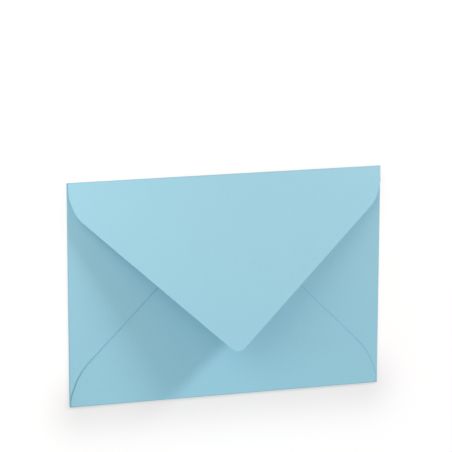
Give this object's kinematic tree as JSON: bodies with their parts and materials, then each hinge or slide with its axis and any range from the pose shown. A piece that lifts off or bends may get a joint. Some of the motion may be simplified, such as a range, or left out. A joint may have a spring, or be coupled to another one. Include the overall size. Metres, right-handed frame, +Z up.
{
  "type": "paper envelope",
  "caption": "Empty paper envelope folded from one sheet, with a pointed closing flap lifted off its back, lying on its front panel.",
  "frame": {"origin": "middle of the front panel's outer face, on the surface that the envelope lies on", "axes": "+X along the long side, +Y from the bottom fold to the top fold where the closing flap is hinged, +Z up through the thickness, from the front panel to the back"},
  "size_m": [0.162, 0.114, 0.0229],
  "materials": {
    "paper": "matte, finely laid"
  },
  "bodies": {
    "root": {"envelope": "paper"}
  },
  "joints": []
}
